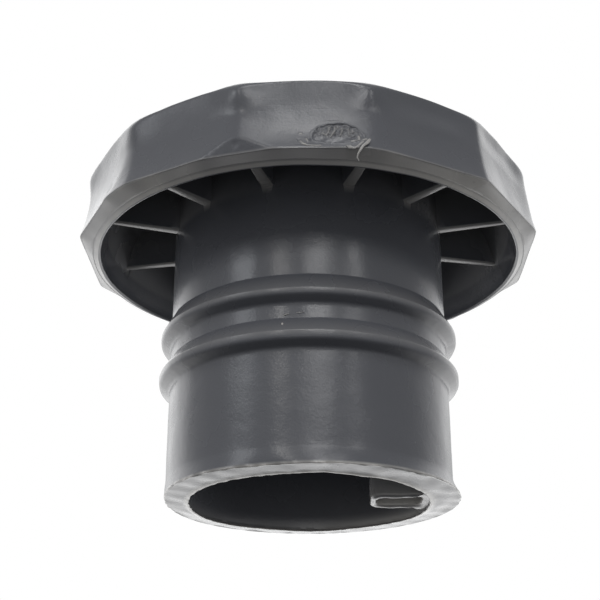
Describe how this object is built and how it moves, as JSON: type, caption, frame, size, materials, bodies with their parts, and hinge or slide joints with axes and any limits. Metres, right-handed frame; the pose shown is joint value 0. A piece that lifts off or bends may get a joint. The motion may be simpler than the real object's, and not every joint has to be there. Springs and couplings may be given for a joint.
{
  "type": "fuel cap",
  "caption": "Push-in fuel cap for a moped's filler neck: a faceted grip with a webbed skirt above a hollow stem with moulded sealing beads and a vent duct.",
  "frame": {"origin": "middle of the stem's open mouth, on the plane that the mouth's end lies in", "axes": "+Z along the stem to the crown, +X towards the vent duct, -Y towards the side that the picture shows"},
  "size_m": [0.0484, 0.0484, 0.0353],
  "materials": {
    "grey_plastic": "satin moulded polyethylene, mid grey, with flash and a torn gate scar left on it"
  },
  "bodies": {
    "root": {"cap": "grey_plastic"}
  },
  "joints": []
}
